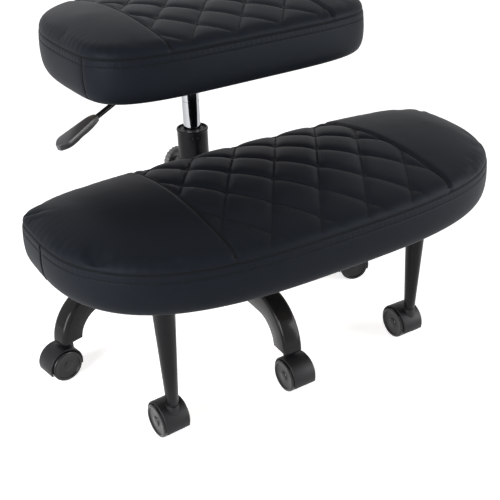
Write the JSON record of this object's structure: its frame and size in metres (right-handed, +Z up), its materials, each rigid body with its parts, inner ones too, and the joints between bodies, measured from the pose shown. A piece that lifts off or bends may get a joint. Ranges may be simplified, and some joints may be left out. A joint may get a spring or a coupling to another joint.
{
  "type": "kneeling chair",
  "caption": "Kneeling stool with a quilted swivel seat on a gas lift and five-arm caster base, and a wide quilted rest that swings round the column on two caster legs.",
  "frame": {"origin": "on the floor, on the column axis, between the wheels of the five-arm base", "axes": "+Z up along the column; -Y towards the long front edge of the rest at rest; +X to the right seen from that side"},
  "size_m": [0.6818, 0.6989, 0.536],
  "materials": {
    "black_leather": "satin",
    "plywood": "matte",
    "black_steel": "gloss",
    "satin_steel": "satin",
    "chrome": "polished",
    "bare_steel": "satin",
    "black_plastic": "satin",
    "wheel_plastic": "gloss",
    "grey_plastic": "satin",
    "nylon": "matte"
  },
  "bodies": {
    "base": {"base_hub": "black_steel", "base_arm_1": "black_steel", "base_arm_2": "black_steel", "base_arm_3": "black_steel", "base_arm_4": "black_steel", "base_arm_5": "black_steel", "base_caster_stems": "bare_steel", "gas_outer_tube": "satin_steel", "guide_bushing": "nylon"},
    "lift_rod": {"piston_rod": "bare_steel", "thrust_bearing": "bare_steel", "lift_retaining_clip": "bare_steel"},
    "seat": {"chrome_column": "chrome", "seat_plate": "satin_steel", "seat_bolts": "bare_steel", "lever_pivot": "bare_steel", "seat_board": "plywood", "seat_cushion": "black_leather"},
    "release": {"release_pin": "bare_steel"},
    "lever": {"lever_rod": "bare_steel", "lever_grip": "black_plastic"},
    "rest": {"swivel_collar": "satin_steel", "collar_bush": "nylon", "rest_arm": "satin_steel", "rest_bolts": "bare_steel", "rest_board": "plywood", "rest_cushion": "black_leather", "leg_left": "satin_steel", "leg_right": "satin_steel", "leg_caster_stems": "bare_steel"},
    "knob": {"clamp_knob": "black_plastic", "clamp_stud": "bare_steel"},
    "caster_1": {"caster_hood_1": "black_plastic", "caster_axle_1": "bare_steel"},
    "wheel_1_a": {"caster_wheel_1_a": "wheel_plastic"},
    "wheel_1_b": {"caster_wheel_1_b": "wheel_plastic"},
    "caster_2": {"caster_hood_2": "black_plastic", "caster_axle_2": "bare_steel"},
    "wheel_2_a": {"caster_wheel_2_a": "wheel_plastic"},
    "wheel_2_b": {"caster_wheel_2_b": "wheel_plastic"},
    "caster_3": {"caster_hood_3": "black_plastic", "caster_axle_3": "bare_steel"},
    "wheel_3_a": {"caster_wheel_3_a": "wheel_plastic"},
    "wheel_3_b": {"caster_wheel_3_b": "wheel_plastic"},
    "caster_4": {"caster_hood_4": "black_plastic", "caster_axle_4": "bare_steel"},
    "wheel_4_a": {"caster_wheel_4_a": "wheel_plastic"},
    "wheel_4_b": {"caster_wheel_4_b": "wheel_plastic"},
    "caster_5": {"caster_hood_5": "black_plastic", "caster_axle_5": "bare_steel"},
    "wheel_5_a": {"caster_wheel_5_a": "wheel_plastic"},
    "wheel_5_b": {"caster_wheel_5_b": "wheel_plastic"},
    "caster_left": {"caster_hood_left": "black_plastic", "caster_axle_left": "bare_steel"},
    "wheel_left_a": {"caster_wheel_left_a": "wheel_plastic"},
    "wheel_left_b": {"caster_wheel_left_b": "wheel_plastic"},
    "caster_right": {"caster_hood_right": "black_plastic", "caster_axle_right": "bare_steel"},
    "wheel_right_a": {"caster_wheel_right_a": "wheel_plastic"},
    "wheel_right_b": {"caster_wheel_right_b": "wheel_plastic"}
  },
  "joints": [
    {"name": "seat_swivel", "type": "hinge", "parent": "base", "child": "lift_rod", "pos_m": [0, 0, 0.07], "axis": [0, 0, 1], "continuous": true},
    {"name": "seat_height", "type": "slide", "parent": "lift_rod", "child": "seat", "axis": [0, 0, 1], "range_m": [-0.085, 0.025]},
    {"name": "lever_lift", "type": "hinge", "parent": "seat", "child": "lever", "pos_m": [-0.03007, -0.01094, 0.4351], "axis": [-0.342, 0.9397, 0], "range_deg": [0, 7]},
    {"name": "release_push", "type": "slide", "parent": "seat", "child": "release", "axis": [0, 0, 1], "range_m": [-0.0044, 0]},
    {"name": "rest_swing", "type": "hinge", "parent": "base", "child": "rest", "pos_m": [0, 0, 0.23], "axis": [0, 0, 1], "continuous": true},
    {"name": "knob_turn", "type": "hinge", "parent": "rest", "child": "knob", "pos_m": [-0.00868, 0.04924, 0.246], "axis": [-0.1736, 0.9848, 0], "range_deg": [-360, 0]},
    {"name": "caster_swivel_1", "type": "hinge", "parent": "base", "child": "caster_1", "pos_m": [-0.28289, -0.08005, 0.05], "axis": [0, 0, 1], "continuous": true},
    {"name": "wheel_roll_1_a", "type": "hinge", "parent": "caster_1", "child": "wheel_1_a", "pos_m": [-0.29762, -0.08291, 0.025], "axis": [0.1908, -0.9816, 0], "continuous": true},
    {"name": "wheel_roll_1_b", "type": "hinge", "parent": "caster_1", "child": "wheel_1_b", "pos_m": [-0.29762, -0.08291, 0.025], "axis": [0.1908, -0.9816, 0], "continuous": true},
    {"name": "caster_swivel_2", "type": "hinge", "parent": "base", "child": "caster_2", "pos_m": [-0.01129, -0.29378, 0.05], "axis": [0, 0, 1], "continuous": true},
    {"name": "wheel_roll_2_a", "type": "hinge", "parent": "caster_2", "child": "wheel_2_a", "pos_m": [-0.01129, -0.30878, 0.025], "axis": [1, 0, 0], "continuous": true},
    {"name": "wheel_roll_2_b", "type": "hinge", "parent": "caster_2", "child": "wheel_2_b", "pos_m": [-0.01129, -0.30878, 0.025], "axis": [1, 0, 0], "continuous": true},
    {"name": "caster_swivel_3", "type": "hinge", "parent": "base", "child": "caster_3", "pos_m": [0.27592, -0.10152, 0.05], "axis": [0, 0, 1], "continuous": true},
    {"name": "wheel_roll_3_a", "type": "hinge", "parent": "caster_3", "child": "wheel_3_a", "pos_m": [0.26182, -0.09639, 0.025], "axis": [-0.342, -0.9397, 0], "continuous": true},
    {"name": "wheel_roll_3_b", "type": "hinge", "parent": "caster_3", "child": "wheel_3_b", "pos_m": [0.26182, -0.09639, 0.025], "axis": [-0.342, -0.9397, 0], "continuous": true},
    {"name": "caster_swivel_4", "type": "hinge", "parent": "base", "child": "caster_4", "pos_m": [0.18181, 0.23104, 0.05], "axis": [0, 0, 1], "continuous": true},
    {"name": "wheel_roll_4_a", "type": "hinge", "parent": "caster_4", "child": "wheel_4_a", "pos_m": [0.17254, 0.21925, 0.025], "axis": [0.7859, -0.6184, 0], "continuous": true},
    {"name": "wheel_roll_4_b", "type": "hinge", "parent": "caster_4", "child": "wheel_4_b", "pos_m": [0.17254, 0.21925, 0.025], "axis": [0.7859, -0.6184, 0], "continuous": true},
    {"name": "caster_swivel_5", "type": "hinge", "parent": "base", "child": "caster_5", "pos_m": [-0.16355, 0.24431, 0.05], "axis": [0, 0, 1], "continuous": true},
    {"name": "wheel_roll_5_a", "type": "hinge", "parent": "caster_5", "child": "wheel_5_a", "pos_m": [-0.15521, 0.23184, 0.025], "axis": [0.831, 0.5563, 0], "continuous": true},
    {"name": "wheel_roll_5_b", "type": "hinge", "parent": "caster_5", "child": "wheel_5_b", "pos_m": [-0.15521, 0.23184, 0.025], "axis": [0.831, 0.5563, 0], "continuous": true},
    {"name": "caster_swivel_left", "type": "hinge", "parent": "rest", "child": "caster_left", "pos_m": [-0.215, -0.307, 0.05], "axis": [0, 0, 1], "continuous": true},
    {"name": "wheel_roll_left_a", "type": "hinge", "parent": "caster_left", "child": "wheel_left_a", "pos_m": [-0.21584, -0.29202, 0.025], "axis": [-0.9984, -0.0558, 0], "continuous": true},
    {"name": "wheel_roll_left_b", "type": "hinge", "parent": "caster_left", "child": "wheel_left_b", "pos_m": [-0.21584, -0.29202, 0.025], "axis": [-0.9984, -0.0558, 0], "continuous": true},
    {"name": "caster_swivel_right", "type": "hinge", "parent": "rest", "child": "caster_right", "pos_m": [0.215, -0.307, 0.05], "axis": [0, 0, 1], "continuous": true},
    {"name": "wheel_roll_right_a", "type": "hinge", "parent": "caster_right", "child": "wheel_right_a", "pos_m": [0.21529, -0.292, 0.025], "axis": [-0.9998, 0.0192, 0], "continuous": true},
    {"name": "wheel_roll_right_b", "type": "hinge", "parent": "caster_right", "child": "wheel_right_b", "pos_m": [0.21529, -0.292, 0.025], "axis": [-0.9998, 0.0192, 0], "continuous": true}
  ],
  "couplings": [
    {"joint": "release_push", "follows": "lever_lift", "m_per_rad": -0.035}
  ]
}
